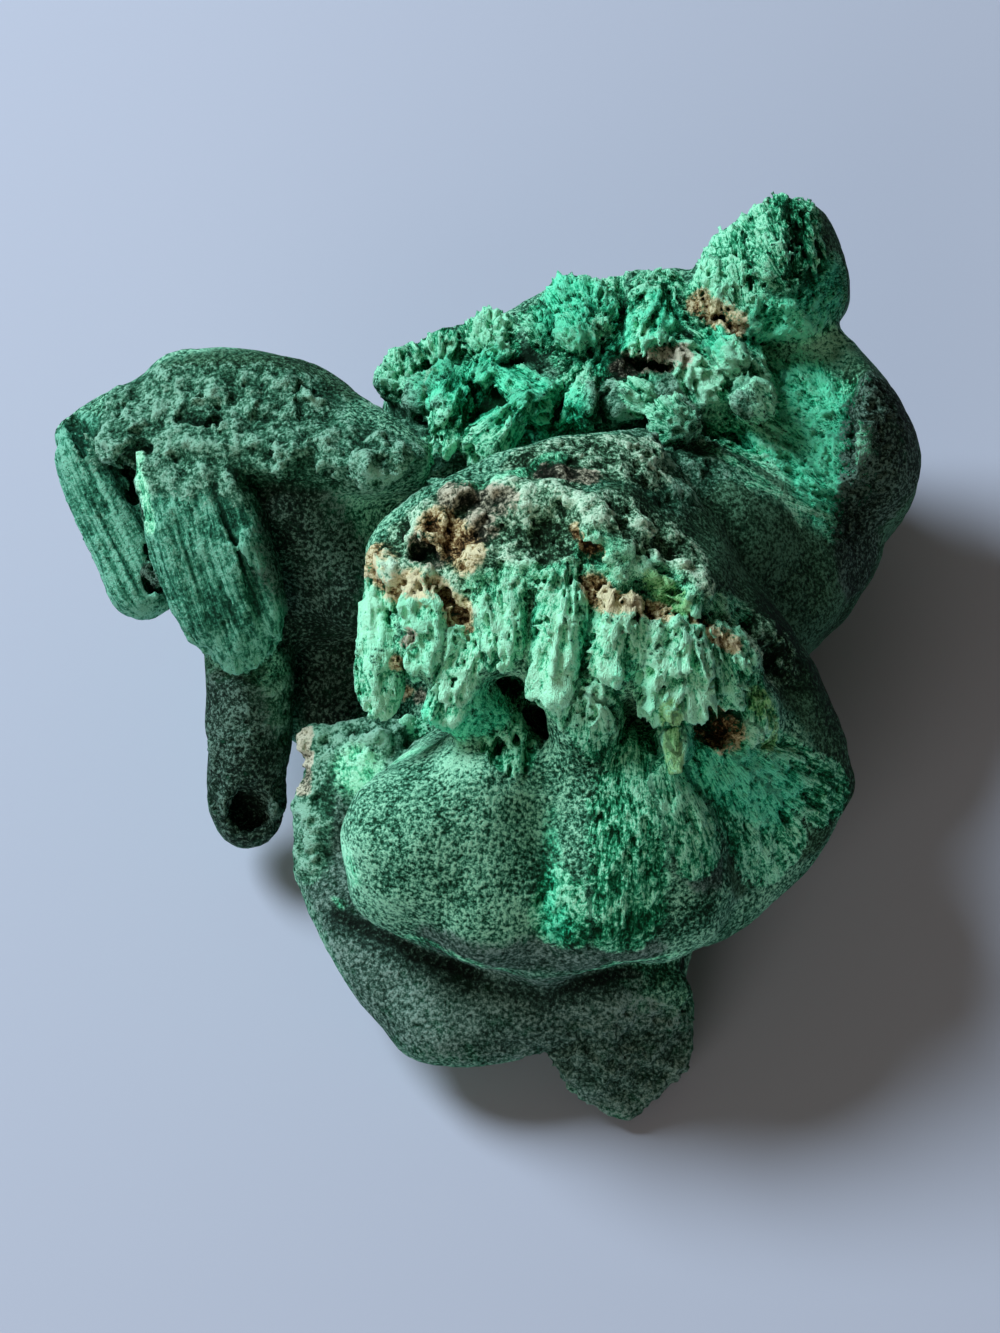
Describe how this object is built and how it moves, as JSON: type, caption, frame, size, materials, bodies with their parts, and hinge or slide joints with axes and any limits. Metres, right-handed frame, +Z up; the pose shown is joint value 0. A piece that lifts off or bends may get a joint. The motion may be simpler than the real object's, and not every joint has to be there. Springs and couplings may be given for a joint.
{
  "type": "stalactitic malachite specimen",
  "caption": "Rounded stalactite lobes of green mineral grown together, broken open along a crest that shows its radiating fibres, flat underneath where it rests.",
  "frame": {"origin": "the point of the flat cut underneath that lies below the middle of the specimen", "axes": "+Z up, away from the surface it rests on; -Y towards the picture's eye; +X to that view's right"},
  "size_m": [0.0908, 0.0905, 0.0506],
  "materials": {
    "malachite": "matt, velvety on the rounded lobes, silky along the broken fibres, with grey and tan crusts"
  },
  "bodies": {
    "root": {"malachite": "malachite"}
  },
  "joints": []
}
